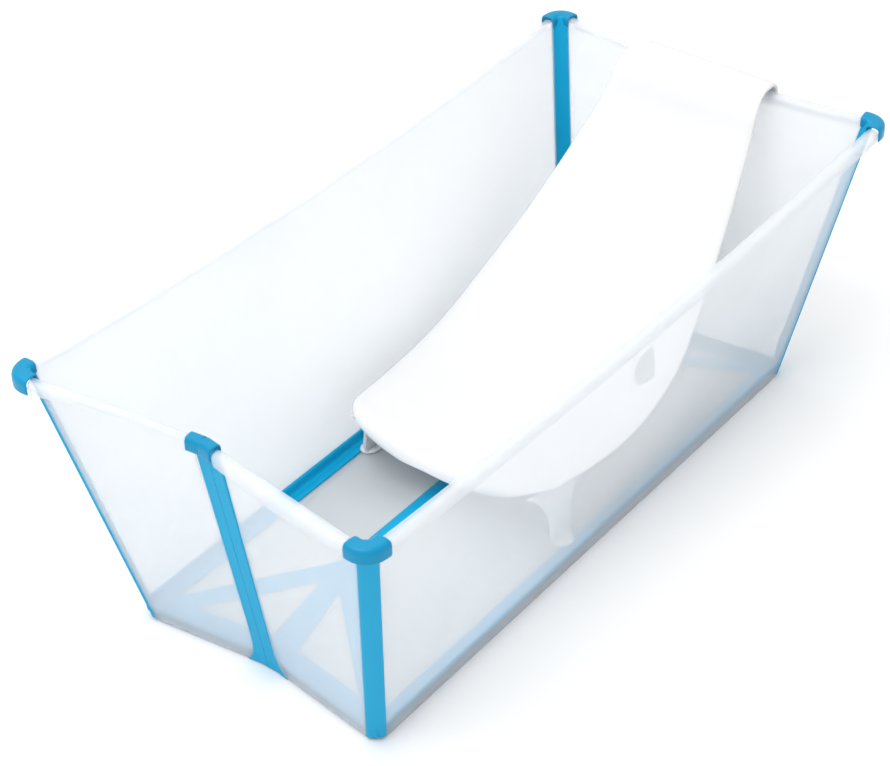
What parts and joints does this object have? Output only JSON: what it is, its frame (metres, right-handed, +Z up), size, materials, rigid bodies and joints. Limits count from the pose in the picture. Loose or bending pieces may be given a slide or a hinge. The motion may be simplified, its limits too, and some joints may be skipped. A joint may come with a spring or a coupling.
{
  "type": "foldable baby bath",
  "caption": "Foldable baby bath: rigid translucent panels joined by soft blue hinge strips, with a lift-out white newborn support hooked over one end.",
  "frame": {"origin": "on the standing surface, under the middle of the open bath", "axes": "+X along the bath towards the end that the newborn support hooks on, +Y to the left side panel, +Z up"},
  "size_m": [0.8224, 0.4124, 0.3109],
  "materials": {
    "panel_plastic": "translucent milky",
    "strip_blue": "satin",
    "plug_blue": "satin",
    "support_white": "satin"
  },
  "bodies": {
    "side_left": {"side_panel_left": "panel_plastic", "near_corner_strip_left": "strip_blue", "far_corner_strip_left": "strip_blue", "floor_side_strip_left": "strip_blue", "near_corner_cap_left": "strip_blue", "far_corner_cap_left": "strip_blue"},
    "floor_left": {"floor_panel_left": "panel_plastic", "near_diagonal_strip_left": "strip_blue", "far_diagonal_strip_left": "strip_blue", "ridge_strip": "strip_blue", "drain_ring": "strip_blue"},
    "floor_right": {"floor_panel_right": "panel_plastic", "near_diagonal_strip_right": "strip_blue", "far_diagonal_strip_right": "strip_blue"},
    "side_right": {"side_panel_right": "panel_plastic", "near_corner_strip_right": "strip_blue", "far_corner_strip_right": "strip_blue", "floor_side_strip_right": "strip_blue", "near_corner_cap_right": "strip_blue", "far_corner_cap_right": "strip_blue"},
    "near_end_left": {"near_end_panel_left": "panel_plastic", "near_end_strip": "strip_blue", "near_floor_end_strip_left": "strip_blue"},
    "near_end_right": {"near_end_panel_right": "panel_plastic", "near_seam_cap": "strip_blue", "near_floor_end_strip_right": "strip_blue"},
    "far_end_left": {"far_end_panel_left": "panel_plastic", "far_end_strip": "strip_blue", "far_floor_end_strip_left": "strip_blue"},
    "far_end_right": {"far_end_panel_right": "panel_plastic", "far_seam_cap": "strip_blue", "far_floor_end_strip_right": "strip_blue"},
    "near_triangle_left": {"near_floor_triangle_left": "panel_plastic", "near_apex_strip": "strip_blue"},
    "near_triangle_right": {"near_floor_triangle_right": "panel_plastic"},
    "far_triangle_left": {"far_floor_triangle_left": "panel_plastic", "far_apex_strip": "strip_blue"},
    "far_triangle_right": {"far_floor_triangle_right": "panel_plastic"},
    "support": {"newborn_support": "support_white"},
    "plug": {"drain_plug": "plug_blue"}
  },
  "joints": [
    {"name": "fold", "type": "hinge", "parent": "side_left", "child": "floor_left", "pos_m": [0, 0.134, 0.006], "axis": [-1, 0, 0], "range_deg": [0, 74], "deforming": ["floor_side_strip_left", "ridge_strip"]},
    {"name": "ridge_fold", "type": "hinge", "parent": "floor_left", "child": "floor_right", "pos_m": [0, 0, 0.02543], "axis": [1, 0, 0], "range_deg": [0, 131.81]},
    {"name": "side_right_fold", "type": "hinge", "parent": "floor_right", "child": "side_right", "pos_m": [0, -0.134, 0.006], "axis": [-1, 0, 0], "range_deg": [0, 74.01], "deforming": ["floor_side_strip_right"]},
    {"name": "near_end_fold_left", "type": "hinge", "parent": "side_left", "child": "near_end_left", "pos_m": [-0.332, 0.13, 0], "axis": [-0.1882, 0.172, 0.967], "range_deg": [0, 74.01], "deforming": ["near_corner_strip_left", "near_corner_cap_left", "near_floor_end_strip_left", "near_end_strip"]},
    {"name": "near_triangle_fold_left", "type": "hinge", "parent": "floor_left", "child": "near_triangle_left", "pos_m": [-0.33161, 0.13356, 0.00306], "axis": [0.6541, -0.7305, 0.1962], "range_deg": [0, 154.01], "deforming": ["near_diagonal_strip_left", "near_apex_strip"]},
    {"name": "near_end_fold_right", "type": "hinge", "parent": "side_right", "child": "near_end_right", "pos_m": [-0.332, -0.13, 0], "axis": [0.1882, 0.172, -0.967], "range_deg": [0, 74.01], "deforming": ["near_corner_strip_right", "near_corner_cap_right", "near_floor_end_strip_right", "near_seam_cap"]},
    {"name": "near_triangle_fold_right", "type": "hinge", "parent": "floor_right", "child": "near_triangle_right", "pos_m": [-0.33161, -0.13356, 0.00306], "axis": [-0.6541, -0.7305, -0.1962], "range_deg": [0, 154.01], "deforming": ["near_diagonal_strip_right"]},
    {"name": "far_end_fold_left", "type": "hinge", "parent": "side_left", "child": "far_end_left", "pos_m": [0.332, 0.13, 0], "axis": [-0.1882, -0.172, -0.967], "range_deg": [0, 74.01], "deforming": ["far_corner_strip_left", "far_corner_cap_left", "far_floor_end_strip_left", "far_end_strip"]},
    {"name": "far_triangle_fold_left", "type": "hinge", "parent": "floor_left", "child": "far_triangle_left", "pos_m": [0.33161, 0.13356, 0.00306], "axis": [0.6541, 0.7305, -0.1962], "range_deg": [0, 154.01], "deforming": ["far_diagonal_strip_left", "far_apex_strip"]},
    {"name": "far_end_fold_right", "type": "hinge", "parent": "side_right", "child": "far_end_right", "pos_m": [0.332, -0.13, 0], "axis": [0.1882, -0.172, 0.967], "range_deg": [0, 74.01], "deforming": ["far_corner_strip_right", "far_corner_cap_right", "far_floor_end_strip_right", "far_seam_cap"]},
    {"name": "far_triangle_fold_right", "type": "hinge", "parent": "floor_right", "child": "far_triangle_right", "pos_m": [0.33161, -0.13356, 0.00306], "axis": [-0.6541, 0.7305, 0.1962], "range_deg": [0, 154.01], "deforming": ["far_diagonal_strip_right"]},
    {"name": "support_lift", "type": "slide", "parent": "side_left", "child": "support", "axis": [-0.1186, 0.0988, 0.988], "range_m": [0, 0.8005]},
    {"name": "plug_pull", "type": "slide", "parent": "floor_left", "child": "plug", "axis": [0, 0.2595, 0.9658], "range_m": [0, 0.008]}
  ],
  "couplings": [
    {"joint": "ridge_fold", "follows": "fold", "ratio": 1.7811},
    {"joint": "side_right_fold", "follows": "fold", "ratio": 1},
    {"joint": "near_end_fold_left", "follows": "fold", "ratio": 1},
    {"joint": "near_triangle_fold_left", "follows": "fold", "ratio": 2.0811},
    {"joint": "near_end_fold_right", "follows": "fold", "ratio": 1},
    {"joint": "near_triangle_fold_right", "follows": "fold", "ratio": 2.0811},
    {"joint": "far_end_fold_left", "follows": "fold", "ratio": 1},
    {"joint": "far_triangle_fold_left", "follows": "fold", "ratio": 2.0811},
    {"joint": "far_end_fold_right", "follows": "fold", "ratio": 1},
    {"joint": "far_triangle_fold_right", "follows": "fold", "ratio": 2.0811},
    {"joint": "support_lift", "follows": "fold", "m_per_rad": 0.61941}
  ]
}
